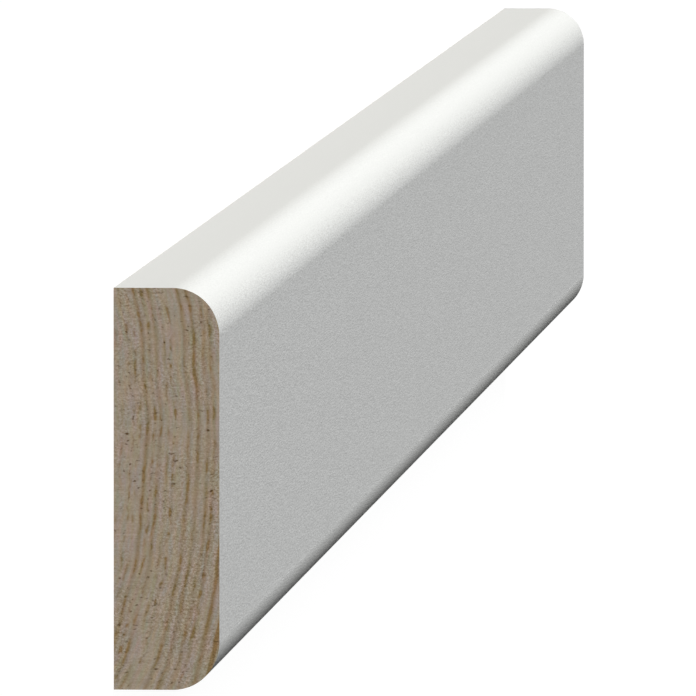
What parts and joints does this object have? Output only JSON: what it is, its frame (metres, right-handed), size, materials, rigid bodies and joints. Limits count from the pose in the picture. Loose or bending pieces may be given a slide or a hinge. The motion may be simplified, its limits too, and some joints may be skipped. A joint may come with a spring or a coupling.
{
  "type": "cover strip",
  "caption": "Straight solid wood cover strip with a flat back, a painted face with both long edges rounded over, and square sawn ends showing end grain; hides joints between boards or panels.",
  "frame": {"origin": "centre of the flat back, midway between the two ends", "axes": "+X along the strip, Y across its width, +Z out of the back through the painted face"},
  "size_m": [1, 0.057, 0.015],
  "materials": {
    "painted_pine": "white paint on the face and both edges, bare planed pine on the back, bare sawn end grain on both ends"
  },
  "bodies": {
    "root": {"cover_strip": "painted_pine"}
  },
  "joints": []
}
